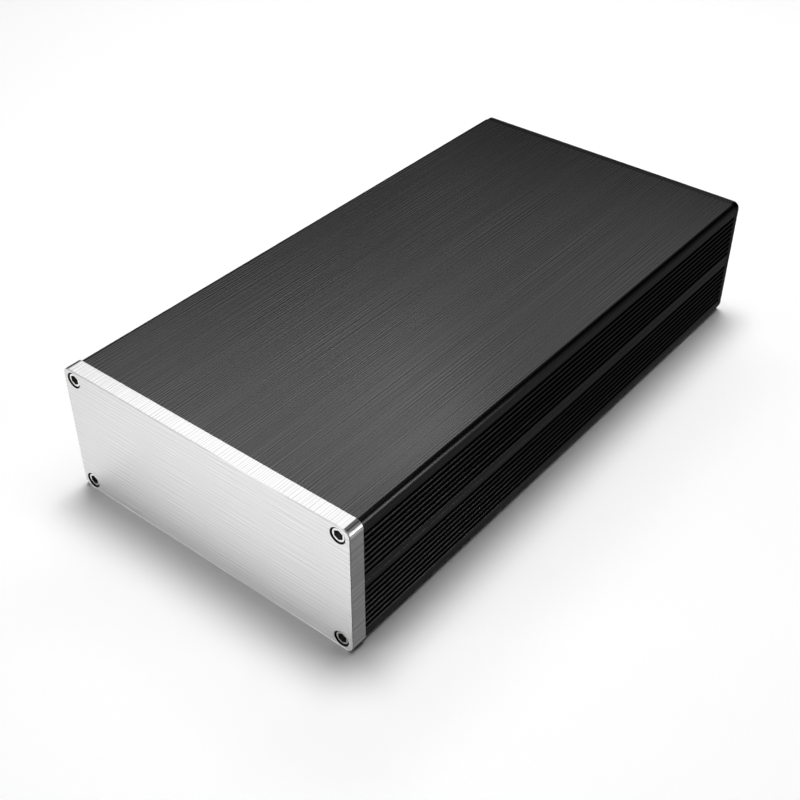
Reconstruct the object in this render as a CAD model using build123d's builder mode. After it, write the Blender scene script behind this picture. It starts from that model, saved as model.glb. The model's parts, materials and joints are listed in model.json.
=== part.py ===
from build123d import *
import os

# A desktop enclosure for circuit boards. Two identical extruded half shells, one turned over, meet at
# mid-height. A thick front panel closes their front end and stands a little proud of them all round.
# A thinner rear plate closes the other end and is flush with them.
# X runs across, Y from the front panel to the rear plate and Z up. The origin is the middle of the
# rectangle that the box covers on the table. Sizes are in millimetres.

# End plates
panel_width = 168.0
panel_height = 70.0
panel_thickness = 8.0
panel_overhang = 0.8        # how far the front panel stands proud of the shells
panel_chamfer = 0.4         # front edge of the front panel
rear_thickness = 4.0
rear_chamfer = 0.2          # rear edge of the rear plate
plate_corner = 3.6          # radius of the corners of both plates

# Half shells
shell_length = 312.0
shell_corner = 2.8
side_wall = 3.0
flat_wall = 2.4             # the wall over and under the boards
band_half = 3.5             # plain band beside the seam, on each half
rib_pitch = 3.1
rib_width = 1.0
groove_depth = 1.4
plain_edge = 6.6            # least plain height between the last groove and the flat wall
rib_rounding = 0.25         # outer edges of the ribs, the bands and the seam

# Tongue and groove where the half shells meet
seam_lip = 1.2              # thickening of the side wall at the seam, on the inside
seam_lip_height = 3.5
tongue_width = 1.0
tongue_height = 1.5
tongue_lead = 0.2           # chamfer at the tip of the tongue
tongue_clearance = 0.1      # on each side of the tongue
tongue_end_clearance = 0.2

# Board slots inside the side walls
board_slot = 2.0            # takes a 1.6 mm board
slot_rail = 1.2
slot_depth = 2.4
slot_spacing = 11.0

# Screw channels in the four corners, with their middles set in from the panel's sides and edges
screw_inset_side = 6.4
screw_inset_edge = 5.2
channel_bore = 3.6
channel_wall = 1.8
channel_slit = 1.8

# Socket cap screws of the front panel
thread_clearance = 0.05     # radial, between a shank and the channel's bore
panel_hole = 4.5
counterbore = 8.0
counterbore_depth = 4.5
cap_head = 7.0
cap_head_height = 4.0
cap_head_chamfer = 0.3
cap_socket = 4.4            # across the flats
cap_socket_depth = 2.4
cap_screw_length = 16.0
screw_tip_chamfer = 0.5

# Countersunk screws of the rear plate
rear_hole = 4.5
sunk_head = 7.4
sunk_head_land = 0.1        # straight rim of the head, above its cone
sunk_angle = 90.0
sunk_clearance = 0.1        # radial, between the head and its countersink
sunk_socket = 2.5           # across the flats
sunk_socket_depth = 1.4
sunk_screw_length = 12.0

socket_turn = 30.0          # hexagon sockets have corners up and down

# Sizes that follow
box_length = panel_thickness + shell_length + rear_thickness
front_face = -box_length / 2
shell_front = front_face + panel_thickness
shell_rear = shell_front + shell_length
rear_face = shell_rear + rear_thickness
mid_height = panel_height / 2

shell_width = panel_width - 2 * panel_overhang
half_height = panel_height / 2 - panel_overhang
groove_width = rib_pitch - rib_width
groove_count = int((half_height - band_half - plain_edge + rib_width) / rib_pitch)

screw_x = panel_width / 2 - screw_inset_side
screw_z = panel_height / 2 - screw_inset_edge
shank = channel_bore - 2 * thread_clearance
channel_boss = channel_bore + 2 * channel_wall

slot_reach = screw_z - channel_boss / 2 - board_slot / 2 - slot_rail
slot_count = int(slot_reach / slot_spacing)

# Planes that face out of the front and the rear, with their own y upward
front_plane = Plane(origin=(0, front_face, mid_height), x_dir=(1, 0, 0), z_dir=(0, -1, 0))
rear_plane = Plane(origin=(0, rear_face, mid_height), x_dir=(-1, 0, 0), z_dir=(0, 1, 0))

# Each half shell is drawn on its own side of the seam: y points up for one, and down for the other
shell_planes = {
    "upper_shell": Plane(origin=(0, shell_rear, mid_height), x_dir=(1, 0, 0), z_dir=(0, -1, 0)),
    "lower_shell": Plane(origin=(0, shell_rear, mid_height), x_dir=(-1, 0, 0), z_dir=(0, -1, 0)),
}

corners = {
    "upper_left": (-screw_x, screw_z),
    "upper_right": (screw_x, screw_z),
    "lower_left": (-screw_x, -screw_z),
    "lower_right": (screw_x, -screw_z),
}

parts_made = {}


def half_shell(seam_plane):
    """One half of the body. The sketch's x runs across the box and its y away from the seam."""
    wall_inside = shell_width / 2 - side_wall
    seam_middle = shell_width / 2 - (side_wall + seam_lip) / 2
    lip_inside = wall_inside - seam_lip
    rail_height = board_slot + 2 * slot_rail
    last_groove = band_half + groove_count * rib_pitch - rib_width
    groove_middle = (band_half + last_groove) / 2

    with BuildPart() as shell:
        with BuildSketch(seam_plane) as profile:
            # The flat wall and two side walls, rounded where they meet
            Rectangle(shell_width, half_height, align=(Align.CENTER, Align.MIN))
            fillet(profile.vertices().group_by(Axis.Y)[-1], shell_corner)
            Rectangle(
                2 * wall_inside, half_height - flat_wall,
                align=(Align.CENTER, Align.MIN), mode=Mode.SUBTRACT,
            )

            # Cooling ribs along both sides, with their outer edges and the seam's rounded
            with Locations((0, groove_middle)):
                with GridLocations(shell_width - groove_depth, rib_pitch, 2, groove_count):
                    Rectangle(groove_depth, groove_width, mode=Mode.SUBTRACT)
            side_corners = profile.vertices().filter_by_position(Axis.Y, 0, last_groove)
            outer_corners = side_corners.group_by(Axis.X)[0] + side_corners.group_by(Axis.X)[-1]
            fillet(outer_corners, rib_rounding)

            for side in (-1, 1):
                towards_middle = Align.MAX if side > 0 else Align.MIN

                # Lip along the seam
                with Locations((side * lip_inside, 0)):
                    Rectangle(
                        seam_lip, seam_lip_height,
                        align=(Align.MIN if side > 0 else Align.MAX, Align.MIN),
                    )

                # Board slots between pairs of rails
                for level in range(1, slot_count + 1):
                    with Locations((side * wall_inside, level * slot_spacing)):
                        Rectangle(slot_depth, rail_height, align=(towards_middle, Align.CENTER))
                        Rectangle(
                            slot_depth, board_slot,
                            align=(towards_middle, Align.CENTER), mode=Mode.SUBTRACT,
                        )

                # Screw channel, slit towards the inside
                with Locations((side * screw_x, screw_z)):
                    Circle(channel_boss / 2)
                    Circle(channel_bore / 2, mode=Mode.SUBTRACT)
                    Rectangle(
                        channel_boss, channel_slit,
                        align=(towards_middle, Align.CENTER), mode=Mode.SUBTRACT,
                    )

            # A tongue on one side fits the groove of the other half shell
            with Locations((seam_middle, 0)):
                Rectangle(tongue_width, tongue_height, align=(Align.CENTER, Align.MAX))
            chamfer(profile.vertices().group_by(Axis.Y)[0], tongue_lead)
            with Locations((-seam_middle, 0)):
                Rectangle(
                    tongue_width + 2 * tongue_clearance, tongue_height + tongue_end_clearance,
                    align=(Align.CENTER, Align.MIN), mode=Mode.SUBTRACT,
                )
        extrude(amount=shell_length)
    return shell.part


def cap_screw(x, z):
    """Socket cap screw, seated on the floor of its counterbore in the front panel."""
    seat_centre = front_plane.from_local_coords((x, z, -counterbore_depth))
    seat = Plane(origin=seat_centre, x_dir=front_plane.x_dir, z_dir=front_plane.z_dir)
    with BuildPart() as screw:
        with BuildSketch(seat):
            Circle(cap_head / 2)
        extrude(amount=cap_head_height)
        chamfer(screw.edges().sort_by(Axis.Y)[0], cap_head_chamfer)
        with BuildSketch(seat):
            Circle(shank / 2)
        extrude(amount=-cap_screw_length)
        chamfer(screw.edges().sort_by(Axis.Y)[-1], screw_tip_chamfer)
        with BuildSketch(seat.offset(cap_head_height)):
            RegularPolygon(cap_socket / 2, 6, major_radius=False, rotation=socket_turn)
        extrude(amount=-cap_socket_depth, mode=Mode.SUBTRACT)
    return screw.part


def sunk_screw(x, z):
    """Countersunk screw, flush with the rear plate."""
    head_centre = rear_plane.from_local_coords((-x, z, 0))
    half_section = Plane(origin=head_centre, x_dir=(1, 0, 0), z_dir=(0, 0, 1))
    cone_end = sunk_head_land + (sunk_head - shank) / 2
    with BuildPart() as screw:
        with BuildSketch(half_section):
            with BuildLine():
                Polyline(
                    (0, 0),
                    (sunk_head / 2, 0),
                    (sunk_head / 2, -sunk_head_land),
                    (shank / 2, -cone_end),
                    (shank / 2, screw_tip_chamfer - sunk_screw_length),
                    (shank / 2 - screw_tip_chamfer, -sunk_screw_length),
                    (0, -sunk_screw_length),
                    close=True,
                )
            make_face()
        revolve(axis=Axis(head_centre, (0, 1, 0)))
        with BuildSketch(Plane(origin=head_centre, x_dir=rear_plane.x_dir, z_dir=rear_plane.z_dir)):
            RegularPolygon(sunk_socket / 2, 6, major_radius=False, rotation=socket_turn)
        extrude(amount=-sunk_socket_depth, mode=Mode.SUBTRACT)
    return screw.part


# Front panel: a plate sawn from thick flat bar, with a counterbored hole in each corner
with BuildPart() as front_panel:
    with BuildSketch(front_plane):
        RectangleRounded(panel_width, panel_height, plate_corner)
    extrude(amount=-panel_thickness)
    chamfer(front_panel.faces().sort_by(Axis.Y)[0].edges(), panel_chamfer)
    with Locations(front_plane):
        with GridLocations(2 * screw_x, 2 * screw_z, 2, 2):
            CounterBoreHole(panel_hole / 2, counterbore / 2, counterbore_depth)
parts_made["front_panel"] = front_panel.part

# Rear plate: thinner, as large as the shells' end, with countersunk holes
with BuildPart() as rear_plate:
    with BuildSketch(rear_plane):
        RectangleRounded(shell_width, 2 * half_height, plate_corner)
    extrude(amount=-rear_thickness)
    chamfer(rear_plate.faces().sort_by(Axis.Y)[-1].edges(), rear_chamfer)
    with Locations(rear_plane):
        with GridLocations(2 * screw_x, 2 * screw_z, 2, 2):
            # The sink runs past the head's rim as far as that rim is deep
            CounterSinkHole(
                rear_hole / 2, sunk_head / 2 + sunk_clearance + sunk_head_land,
                counter_sink_angle=sunk_angle,
            )
parts_made["rear_plate"] = rear_plate.part

for name, seam_plane in shell_planes.items():
    parts_made[name] = half_shell(seam_plane)

for corner, (x, z) in corners.items():
    parts_made[f"front_screw_{corner}"] = cap_screw(x, z)
    parts_made[f"rear_screw_{corner}"] = sunk_screw(x, z)

os.makedirs("parts", exist_ok=True)
for name, part in parts_made.items():
    part.label = name
    export_step(part, f"parts/{name}.step")
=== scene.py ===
import json
import math
import bmesh
import bpy
from mathutils import Matrix, Vector


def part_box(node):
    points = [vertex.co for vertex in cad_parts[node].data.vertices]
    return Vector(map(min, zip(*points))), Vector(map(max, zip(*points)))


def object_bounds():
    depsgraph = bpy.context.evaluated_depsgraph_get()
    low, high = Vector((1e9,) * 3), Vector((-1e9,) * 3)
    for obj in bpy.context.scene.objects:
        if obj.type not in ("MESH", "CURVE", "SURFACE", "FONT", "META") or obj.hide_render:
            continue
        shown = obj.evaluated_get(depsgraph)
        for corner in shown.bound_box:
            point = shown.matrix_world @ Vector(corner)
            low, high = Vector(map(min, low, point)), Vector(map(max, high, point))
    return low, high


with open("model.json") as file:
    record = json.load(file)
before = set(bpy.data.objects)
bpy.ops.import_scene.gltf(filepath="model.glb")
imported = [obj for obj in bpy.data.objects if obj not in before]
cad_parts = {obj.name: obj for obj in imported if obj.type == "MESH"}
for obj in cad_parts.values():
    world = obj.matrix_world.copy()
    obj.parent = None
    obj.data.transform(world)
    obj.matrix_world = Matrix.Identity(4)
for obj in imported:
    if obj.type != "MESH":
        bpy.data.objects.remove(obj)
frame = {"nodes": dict(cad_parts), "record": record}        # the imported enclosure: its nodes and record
cad_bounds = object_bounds()

# The photograph's frame and camera, in pixels, metres and degrees
PHOTO_SIDE = 800
FOCAL_LENGTH = 1250.81
SENSOR = 36.0
CAMERA_PLACE = (0.31037, -0.41542, 0.40556)
CAMERA_TARGET = (0.02061, -0.05232, 0.035)
CAMERA_ROLL = 0.213

# Marks of the brush: how wide one is, and how far it runs, in metres
SILVER_FACE_LINES = (0.0006, 0.035)
SILVER_EDGE_LINES = (0.0004, 0.03)
BLACK_LINES = (0.0004, 0.12)
SCRATCHES = (0.0005, 0.12)
BANDS = (0.006, 0.25)
CORNER_STREAKS = (0.0005, 0.3)

# How far a fine line lies from those beside it, as a share of its width
LINE_SPACING = 1.6

# For each kind of face, its fine lines and then how strong the lines, scratches and bands are
SILVER_FACE_MARKS = (SILVER_FACE_LINES, 0.105, 0.045, 0.008)
SILVER_EDGE_MARKS = (SILVER_EDGE_LINES, 0.25, 0.14, 0.012)
BLACK_MARKS = (BLACK_LINES, 0.5, 0.12, 0.06)
PLATE_MARKS = (BLACK_LINES, 0.2, 0.1, 0.05)

# The parts of a noise's range that a mark is made of
NOISE_RANGE = (0.3, 0.7)
LINE_RANGE = (0.2, 0.8)
CORNER_RANGE = (0.4, 0.6)
LIGHT_SCRATCH_RANGE = (0.62, 0.78)
DARK_SCRATCH_RANGE = (0.22, 0.38)
STREAK_ROUGHNESS = 0.6

# Colours of the metals
SILVER = (0.675, 0.675, 0.675)
BLACK = (0.050, 0.050, 0.051)
BLACK_PLATE = (0.015, 0.015, 0.016)
STEEL = (0.86, 0.85, 0.84)
BLACK_STEEL = (0.07, 0.07, 0.07)
GRAZING_TINT = (0.72, 0.72, 0.72, 1.0)

# Roughness of the metals, how much it goes up and down with the grain, and how much more a
# reflection spreads across the marks than along them
SILVER_ROUGHNESS = 0.34
BLACK_ROUGHNESS = 0.28
BRIGHT_STEEL_ROUGHNESS = 0.22
BLACK_STEEL_ROUGHNESS = 0.35
BRUSHED_SPREAD = 0.03
STEEL_SPREAD = 0.04
SILVER_ANISOTROPY = 0.8
BLACK_ANISOTROPY = 0.75
ACROSS_THE_MARKS = 0.25
RELIEF = 0.000004        # height of the brush marks, in metres

# Tool marks on the screws: their scale and detail, and the tones that they run between
STEEL_GRAIN = 1800.0
STEEL_GRAIN_DETAIL = 3.0
STEEL_TONES = (0.92, 1.08)

# Tone of the silver edges beside the front face, and the tones of the streaks on rounded corners
SILVER_EDGE_TONE = 0.893
SILVER_CORNER_TONES = (0.3, 1.6)
BLACK_CORNER_TONES = (0.7, 1.1)

# A face looks to the front or the rear from this share of its normal on
FRONT_SLANT = 0.6

# Rounded corners: how slanted their faces are, how far from mid-height they lie in metres, how dark
# they are where they look up or down, and the shares of the normal between which that ends
CORNER_SLANT = 0.12
CORNER_REACH = 0.031
CORNER_SHADE = 0.2
CORNER_TURN = (0.55, 0.8)

# How high the rounded lower corners reach, in metres, and how dark they are
LOW_CORNER = 0.005
LOW_CORNER_TONE = 0.06

# How high the painted highlight along the lower rim of the front face reaches, in metres, and its
# tone
RIM_HEIGHT = 0.0009
RIM_HIGHLIGHT_TONE = 1.4

# The screws' sockets and the bores round their heads, in metres, and how dark they are
SOCKET_RADIUS = 0.0026
SOCKET_START = 0.00012
BORE_RADIUS = 0.00402
EDGE_WIDTH = 0.00005
SOCKET_TONE = 0.35
BORE_TONE = 0.03

# The dark joint between the shells and the rear plate, in metres
JOINT_WIDTH = 0.0005
JOINT_TONE = 0.35

# Softboxes of the studio, all aimed at the box from the same distance in metres. Each has its
# azimuth from +X, its elevation, its width and its height in degrees, and its brightness.
LIGHT_DISTANCE = 1.8
SOFTBOXES = {
    "key": (135.0, 84.0, 26.0, 10.0, 13.6),
    "key_lower": (135.0, 76.0, 26.0, 10.0, 16.3),
    "left_high": (-160.0, 76.0, 26.0, 12.0, 0.9),
    "right_high": (60.0, 78.0, 26.0, 12.0, 1.85),
    "right_top": (50.0, 66.0, 26.0, 12.0, 3.35),
    "rear_left_high": (138.0, 46.0, 24.0, 8.0, 5.05),
    "rear_left_middle": (138.0, 38.0, 24.0, 8.0, 0.5),
    "rear_high": (113.0, 46.0, 24.0, 10.0, 1.67),
    "rear_middle": (113.0, 36.0, 24.0, 10.0, 1.49),
    "rear_right": (100.0, 36.0, 20.0, 14.0, 0.6),
    "side_front": (29.0, 8.0, 12.0, 16.0, 6.0),
    "side_rear": (53.0, 8.0, 26.0, 16.0, 0.15),
    "front_low": (-112.0, 7.0, 32.0, 12.0, 11.0),
}

# Glowing cards that show only in reflections: their middle, their size along X and Y in metres,
# their turn about X and Z in degrees, and their strength
CARDS = {
    "side_card": ((0.584, 0.5, 0.0002), (1.0, 2.0), 0.0, 0.0, 0.19),
    "right_card": ((0.92, -0.92, 0.38), (2.0, 0.6), 75.0, 45.0, 0.6),
    "front_card": ((-0.585, -0.81, 0.555), (0.9, 0.5), 61.0, -42.0, 0.5),
}

# The floor: its side in metres, its colour, the scale of its mottle and its roughness
FLOOR_SIDE = 3.0
FLOOR_COLOUR = (0.96, 0.96, 0.96, 1.0)
FLOOR_MOTTLE = 3.0
FLOOR_ROUGHNESS = (0.5, 0.56)

# The pale wall behind the floor is seen by the camera alone and lights nothing
WALL_COLOUR = (1.0, 1.0, 1.0, 1.0)
WALL_BRIGHTNESS = 0.85


def node(tree, kind, inputs=None, **settings):
    """Adds one shader node. An input is a plain value, or the output that feeds it."""
    made = tree.nodes.new(kind)
    for name, value in settings.items():
        setattr(made, name, value)
    for name, value in (inputs or {}).items():
        if isinstance(value, bpy.types.NodeSocket):
            tree.links.new(value, made.inputs[name])
        else:
            made.inputs[name].default_value = value
    return made


def new_material(name):
    """An empty material, with its tree and its surface shader."""
    material = bpy.data.materials.new(name)
    material.use_nodes = True
    tree = material.node_tree
    tree.nodes.clear()
    shader = node(tree, "ShaderNodeBsdfPrincipled", name="surface")
    node(tree, "ShaderNodeOutputMaterial", {"Surface": shader.outputs["BSDF"]})
    return material, tree, shader


def place(tree):
    """Where a point lies on the part, as its X, Y and Z."""
    point = node(tree, "ShaderNodeTexCoord").outputs["Object"]
    return node(tree, "ShaderNodeSeparateXYZ", {"Vector": point}).outputs


def facing(tree):
    """Which way a point's face looks, as its X, Y and Z."""
    normal = node(tree, "ShaderNodeNewGeometry").outputs["Normal"]
    return node(tree, "ShaderNodeSeparateXYZ", {"Vector": normal}).outputs


def maths(tree, operation, *values):
    """One step of arithmetic."""
    return node(
        tree, "ShaderNodeMath", dict(enumerate(values)), operation=operation
    ).outputs["Value"]


def remap(tree, value, low, high, to_low, to_high):
    """Maps a value from one range to another, and holds it there."""
    return node(
        tree, "ShaderNodeMapRange",
        {"Value": value, "From Min": low, "From Max": high, "To Min": to_low, "To Max": to_high},
    ).outputs["Result"]


def mixed(tree, factor, a, b):
    """One number between two, by a factor."""
    return node(
        tree, "ShaderNodeMix", {"Factor": factor, 2: a, 3: b}, data_type="FLOAT"
    ).outputs[0]


def scaled_colour(tree, colour, factor):
    """A plain colour made lighter or darker by a factor."""
    return node(
        tree, "ShaderNodeVectorMath", {0: colour, "Scale": factor}, operation="SCALE"
    ).outputs["Vector"]


def streaks(tree, run_axis, width, run, detail, shift=0.0):
    """Noise drawn out along one axis of the part, from 0 to 1. A shift moves it sideways, as a
    share of its width."""
    side_axis = "x" if run_axis == "y" else "z"
    scale = [1.0 / run if axis == run_axis else 1.0 / width for axis in "xyz"]
    location = [shift if axis == side_axis else 0.0 for axis in "xyz"]
    point = node(tree, "ShaderNodeTexCoord").outputs["Object"]
    stretched = node(
        tree, "ShaderNodeMapping", {"Vector": point, "Location": location, "Scale": scale}
    ).outputs["Vector"]
    return node(
        tree, "ShaderNodeTexNoise",
        {"Vector": stretched, "Scale": 1.0, "Detail": detail, "Roughness": STREAK_ROUGHNESS},
    ).outputs["Fac"]


def fine_lines(tree, run_axis, line_size):
    """Fine lines that lie everywhere, each light one between two dark ones, about 0.5."""
    line = streaks(tree, run_axis, *line_size, 0.0)
    left = streaks(tree, run_axis, *line_size, 0.0, LINE_SPACING)
    right = streaks(tree, run_axis, *line_size, 0.0, -LINE_SPACING)
    beside = maths(tree, "MULTIPLY", 0.5, maths(tree, "ADD", left, right))
    return maths(tree, "ADD", 0.5, maths(tree, "SUBTRACT", line, beside))


def brush_marks(tree, run_axis, line_size, lines, scratches, bands):
    """A factor round 1 for the marks of a brush that ran along one axis, and their relief.
    Scratches are few and long, and bands are wide and faint."""
    fine = fine_lines(tree, run_axis, line_size)
    sparse = streaks(tree, run_axis, *SCRATCHES, 1.0)
    wide = streaks(tree, run_axis, *BANDS, 1.0)
    factor = remap(tree, fine, *LINE_RANGE, 1.0 - lines, 1.0 + lines)
    for mark in (
        remap(tree, wide, *NOISE_RANGE, 1.0 - bands, 1.0 + bands),
        remap(tree, sparse, *LIGHT_SCRATCH_RANGE, 1.0, 1.0 + scratches),
        remap(tree, sparse, *DARK_SCRATCH_RANGE, 1.0 - scratches, 1.0),
    ):
        factor = maths(tree, "MULTIPLY", factor, mark)
    return factor, fine


def faces_front(tree):
    """1 on faces that look to the front or the rear, with their chamfers, and 0 on the others."""
    return maths(tree, "GREATER_THAN", maths(tree, "ABSOLUTE", facing(tree)["Y"]), FRONT_SLANT)


def below(tree, height):
    """1 below a height, and 0 above it."""
    return maths(tree, "LESS_THAN", place(tree)["Z"], height)


def behind(tree, y):
    """1 behind a plane across the box, seen from the front, and 0 before it."""
    return maths(tree, "GREATER_THAN", place(tree)["Y"], y)


def rounded_corners(tree):
    """1 on the rounded corners along the box, and 0 on the flat faces beside them."""
    way = facing(tree)
    slant = maths(tree, "ABSOLUTE", maths(tree, "MULTIPLY", way["X"], way["Z"]))
    slanting = remap(tree, slant, CORNER_SLANT / 2, CORNER_SLANT, 0.0, 1.0)
    middle = (cad_bounds[0].z + cad_bounds[1].z) / 2
    from_middle = maths(tree, "ABSOLUTE", maths(tree, "SUBTRACT", place(tree)["Z"], middle))
    return maths(tree, "MULTIPLY", slanting, maths(tree, "GREATER_THAN", from_middle, CORNER_REACH))


def corner_shade(tree):
    """Dark where a rounded corner looks up or down, and 1 where it looks sideways."""
    sideways = maths(tree, "ABSOLUTE", facing(tree)["X"])
    return remap(tree, sideways, *CORNER_TURN, CORNER_SHADE, 1.0)


def near_screws(tree, screw, radius):
    """1 within a radius of the axis of each of four screws, and 0 beyond it. The screws lie even
    about the middle of the box."""
    low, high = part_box(screw)
    centre = (low + high) / 2
    middle = (cad_bounds[0] + cad_bounds[1]) / 2
    point = place(tree)
    squares = []
    for axis, letter in ((0, "X"), (2, "Z")):
        from_middle = maths(tree, "SUBTRACT", point[letter], middle[axis])
        reach = abs(centre[axis] - middle[axis])
        offset = maths(tree, "SUBTRACT", maths(tree, "ABSOLUTE", from_middle), reach)
        squares.append(maths(tree, "MULTIPLY", offset, offset))
    distance = maths(tree, "SQRT", maths(tree, "ADD", *squares))
    return remap(tree, distance, radius, radius + EDGE_WIDTH, 1.0, 0.0)


def brushed_metal(name, colour, marks, runs, roughness, anisotropy, corner_tones, edge_tone=1.0):
    """A metal brushed along each face. The marks and runs are those of the faces that look to the
    front or the rear, and those of all the others. Streaks run between the corner's two tones."""
    material, tree, shader = new_material(name)
    front = faces_front(tree)
    (face_factor, face_relief), (edge_factor, edge_relief) = [
        brush_marks(tree, run, *strengths) for run, strengths in zip(runs, marks)
    ]
    corner_noise = streaks(tree, runs[1], *CORNER_STREAKS, 1.0)
    corner_streaks = remap(tree, corner_noise, *CORNER_RANGE, *corner_tones)
    corner_factor = maths(tree, "MULTIPLY", corner_streaks, corner_shade(tree))
    edge_factor = mixed(tree, rounded_corners(tree), edge_factor, corner_factor)
    edge_factor = maths(tree, "MULTIPLY", edge_factor, edge_tone)
    factor = mixed(tree, front, edge_factor, face_factor)
    grain = mixed(tree, front, edge_relief, face_relief)
    tree.links.new(scaled_colour(tree, colour, factor), shader.inputs["Base Color"])
    rough = remap(
        tree, grain, *NOISE_RANGE, roughness - BRUSHED_SPREAD, roughness + BRUSHED_SPREAD
    )
    tree.links.new(rough, shader.inputs["Roughness"])
    bump = node(tree, "ShaderNodeBump", {"Height": grain, "Strength": 1.0, "Distance": RELIEF})
    tree.links.new(bump.outputs["Normal"], shader.inputs["Normal"])
    face_run, edge_run = [tuple(float(axis == run) for axis in "xyz") for run in runs]
    along = node(
        tree, "ShaderNodeMix", {"Factor": front, "A": edge_run, "B": face_run}, data_type="VECTOR"
    )
    tree.links.new(along.outputs[1], shader.inputs["Tangent"])
    shader.inputs["Metallic"].default_value = 1.0
    shader.inputs["Anisotropic"].default_value = anisotropy
    shader.inputs["Anisotropic Rotation"].default_value = ACROSS_THE_MARKS
    return material


def turned_steel(name, colour, roughness):
    """A screw's steel, with fine irregular tool marks."""
    material, tree, shader = new_material(name)
    point = node(tree, "ShaderNodeTexCoord").outputs["Object"]
    grain = node(
        tree, "ShaderNodeTexNoise",
        {"Vector": point, "Scale": STEEL_GRAIN, "Detail": STEEL_GRAIN_DETAIL},
    ).outputs["Fac"]
    factor = remap(tree, grain, *NOISE_RANGE, *STEEL_TONES)
    tree.links.new(scaled_colour(tree, colour, factor), shader.inputs["Base Color"])
    rough = remap(tree, grain, *NOISE_RANGE, roughness - STEEL_SPREAD, roughness + STEEL_SPREAD)
    tree.links.new(rough, shader.inputs["Roughness"])
    shader.inputs["Metallic"].default_value = 1.0
    return material


def make_finishes():
    """One material for each slot of the record."""
    finishes = {
        "front_panel": brushed_metal(
            "brushed_silver", SILVER, (SILVER_FACE_MARKS, SILVER_EDGE_MARKS), "xy",
            SILVER_ROUGHNESS, SILVER_ANISOTROPY, SILVER_CORNER_TONES, SILVER_EDGE_TONE,
        ),
        "shells": brushed_metal(
            "brushed_black", BLACK, (BLACK_MARKS, BLACK_MARKS), "yy",
            BLACK_ROUGHNESS, BLACK_ANISOTROPY, BLACK_CORNER_TONES,
        ),
        "rear_plate": brushed_metal(
            "satin_black", BLACK_PLATE, (PLATE_MARKS, PLATE_MARKS), "xx",
            BLACK_ROUGHNESS, BLACK_ANISOTROPY, BLACK_CORNER_TONES,
        ),
        "front_screws": turned_steel("bright_steel", STEEL, BRIGHT_STEEL_ROUGHNESS),
        "rear_screws": turned_steel("black_steel", BLACK_STEEL, BLACK_STEEL_ROUGHNESS),
    }
    for slot in ("shells", "rear_plate"):
        shader = finishes[slot].node_tree.nodes["surface"]
        shader.inputs["Specular Tint"].default_value = GRAZING_TINT
    return finishes


def tone_where(material, mask, tone):
    """Multiplies a finish's colour by a tone where a mask is 1."""
    tree = material.node_tree
    colour_input = tree.nodes["surface"].inputs["Base Color"]
    colour = colour_input.links[0].from_socket
    factor = mixed(tree, mask, 1.0, tone)
    tree.links.new(scaled_colour(tree, colour, factor), colour_input)


def shade_screw_holes(finishes):
    """Little light reaches the bottom of a socket or the gap round a screw's head."""
    tree = finishes["front_screws"].node_tree
    head_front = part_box("front_screw_upper_left")[0].y
    in_socket = maths(
        tree, "MULTIPLY",
        near_screws(tree, "front_screw_upper_left", SOCKET_RADIUS),
        behind(tree, head_front + SOCKET_START),
    )
    tone_where(finishes["front_screws"], in_socket, SOCKET_TONE)
    tree = finishes["front_panel"].node_tree
    in_bore = near_screws(tree, "front_screw_upper_left", BORE_RADIUS)
    tone_where(finishes["front_panel"], in_bore, BORE_TONE)


def paint_rim_highlight(finishes):
    """Painted highlight along the lower rim of the brushed face, where its edge catches the light.
    """
    tree = finishes["front_panel"].node_tree
    on_rim = maths(tree, "MULTIPLY", faces_front(tree), below(tree, RIM_HEIGHT))
    tone_where(finishes["front_panel"], on_rim, RIM_HIGHLIGHT_TONE)


def shade_low_corners(finishes):
    """The rounded lower corners look into the shade just over the floor."""
    for slot in ("front_panel", "shells"):
        tree = finishes[slot].node_tree
        low_corners = maths(tree, "MULTIPLY", rounded_corners(tree), below(tree, LOW_CORNER))
        tone_where(finishes[slot], low_corners, LOW_CORNER_TONE)


def draw_joint(finishes):
    """The joint between the shells and the rear plate is a thin dark line."""
    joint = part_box("rear_plate")[0].y
    for slot in ("shells", "rear_plate"):
        tree = finishes[slot].node_tree
        past_joint = behind(tree, joint + JOINT_WIDTH / 2)
        at_joint = maths(
            tree, "MULTIPLY",
            behind(tree, joint - JOINT_WIDTH / 2), maths(tree, "SUBTRACT", 1.0, past_joint),
        )
        tone_where(finishes[slot], at_joint, JOINT_TONE)


def dress_nodes(finishes):
    """Gives every piece of the enclosure the finish of its material slot."""
    for row in frame["record"]["subparts"]:
        piece = frame["nodes"][row["node"]]
        piece.data.materials.clear()
        piece.data.materials.append(finishes[row["material_slot"]])


def aim(spot, target, roll=0.0):
    """The matrix that puts something at a spot, with its -Z axis on a target."""
    spot = Vector(spot)
    turned = (Vector(target) - spot).to_track_quat("-Z", "Y").to_matrix().to_4x4()
    return Matrix.Translation(spot) @ turned @ Matrix.Rotation(math.radians(roll), 4, "Z")


def around(azimuth, elevation, distance):
    """A spot round the box, by its angles and its distance."""
    turn, rise = math.radians(azimuth), math.radians(elevation)
    level = distance * math.cos(rise)
    return level * math.cos(turn), level * math.sin(turn), distance * math.sin(rise)


def make_camera():
    """The photograph's camera."""
    data = bpy.data.cameras.new("photo_camera")
    data.sensor_width = SENSOR
    data.lens = FOCAL_LENGTH / PHOTO_SIDE * SENSOR
    camera = bpy.data.objects.new("photo_camera", data)
    camera.matrix_world = aim(CAMERA_PLACE, CAMERA_TARGET, CAMERA_ROLL)
    bpy.context.scene.collection.objects.link(camera)
    bpy.context.scene.camera = camera


def studio_piece(name, surface, material):
    """Makes a piece of the studio from its finished surface."""
    mesh = bpy.data.meshes.new(name)
    surface.to_mesh(mesh)
    surface.free()
    mesh.materials.append(material)
    piece = bpy.data.objects.new(name, mesh)
    bpy.context.scene.collection.objects.link(piece)
    return piece


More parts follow.
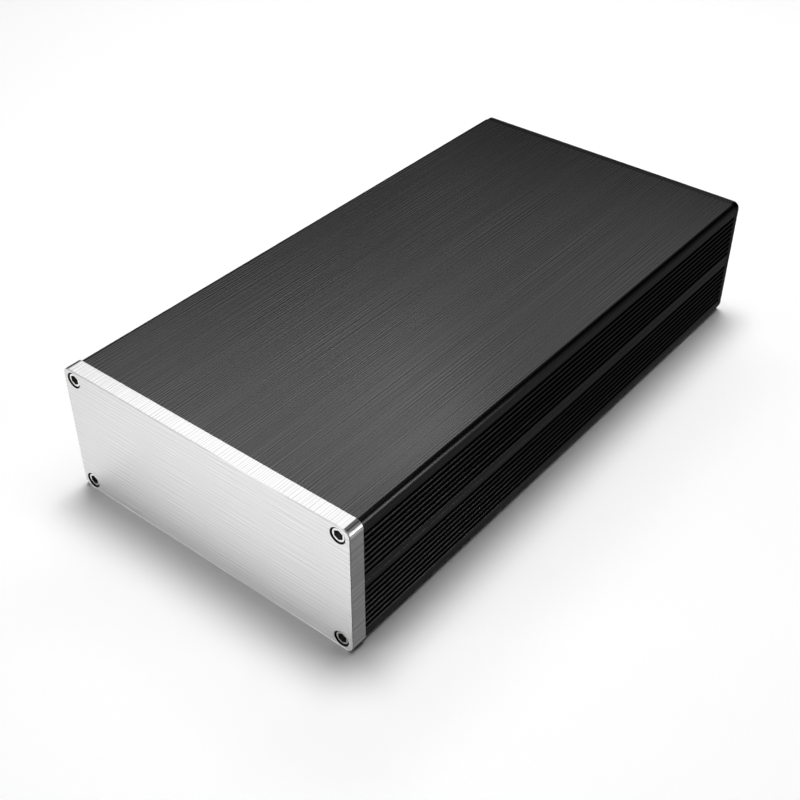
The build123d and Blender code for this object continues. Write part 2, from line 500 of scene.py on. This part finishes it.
def make_floor():
    """A plain white floor under the box."""
    surface = bmesh.new()
    bmesh.ops.create_grid(surface, x_segments=1, y_segments=1, size=FLOOR_SIDE / 2)
    material, tree, shader = new_material("white_floor")
    point = node(tree, "ShaderNodeTexCoord").outputs["Object"]
    mottle = node(
        tree, "ShaderNodeTexNoise", {"Vector": point, "Scale": FLOOR_MOTTLE}
    ).outputs["Fac"]
    rough = remap(tree, mottle, *NOISE_RANGE, *FLOOR_ROUGHNESS)
    tree.links.new(rough, shader.inputs["Roughness"])
    shader.inputs["Base Color"].default_value = FLOOR_COLOUR
    floor = studio_piece("studio_floor", surface, material)


def make_card(name, middle, size, lean, turn, strength):
    """A glowing card that shows only in reflections."""
    surface = bmesh.new()
    bmesh.ops.create_grid(surface, x_segments=1, y_segments=1, size=0.5)
    bmesh.ops.scale(surface, vec=(*size, 1.0), verts=surface.verts)
    for degrees, axis in ((lean, "X"), (turn, "Z")):
        rotation = Matrix.Rotation(math.radians(degrees), 3, axis)
        bmesh.ops.rotate(surface, matrix=rotation, verts=surface.verts)
    bmesh.ops.translate(surface, vec=middle, verts=surface.verts)
    material = bpy.data.materials.new(name)
    material.use_nodes = True
    tree = material.node_tree
    tree.nodes.clear()
    glow = node(tree, "ShaderNodeEmission", {"Strength": strength})
    node(tree, "ShaderNodeOutputMaterial", {"Surface": glow.outputs["Emission"]})
    card = studio_piece(name, surface, material)
    for kind in ("camera", "diffuse", "shadow", "transmission", "volume_scatter"):
        setattr(card, f"visible_{kind}", False)


def make_lights():
    """Softboxes over and round the box."""
    for name, (azimuth, elevation, width, height, brightness) in SOFTBOXES.items():
        data = bpy.data.lights.new(name, "AREA")
        data.shape = "RECTANGLE"
        data.size = 2 * LIGHT_DISTANCE * math.tan(math.radians(width / 2))
        data.size_y = 2 * LIGHT_DISTANCE * math.tan(math.radians(height / 2))
        data.energy = math.pi * data.size * data.size_y * brightness
        light = bpy.data.objects.new(name, data)
        light.matrix_world = aim(around(azimuth, elevation, LIGHT_DISTANCE), (0.0, 0.0, 0.0))
        light.visible_camera = False
        bpy.context.scene.collection.objects.link(light)


def make_wall():
    """The pale wall, and plain colours for the view."""
    world = bpy.data.worlds.new("studio")
    world.use_nodes = True
    background = world.node_tree.nodes["Background"]
    background.inputs["Color"].default_value = WALL_COLOUR
    background.inputs["Strength"].default_value = WALL_BRIGHTNESS
    for kind in ("diffuse", "glossy", "transmission", "scatter"):
        setattr(world.cycles_visibility, kind, False)
    bpy.context.scene.world = world
    bpy.context.scene.view_settings.view_transform = "Standard"


slot_finishes = make_finishes()
shade_screw_holes(slot_finishes)
paint_rim_highlight(slot_finishes)
shade_low_corners(slot_finishes)
draw_joint(slot_finishes)
dress_nodes(slot_finishes)

make_camera()
make_floor()
make_lights()
make_wall()
for card_name, card_settings in CARDS.items():
    make_card(card_name, *card_settings)
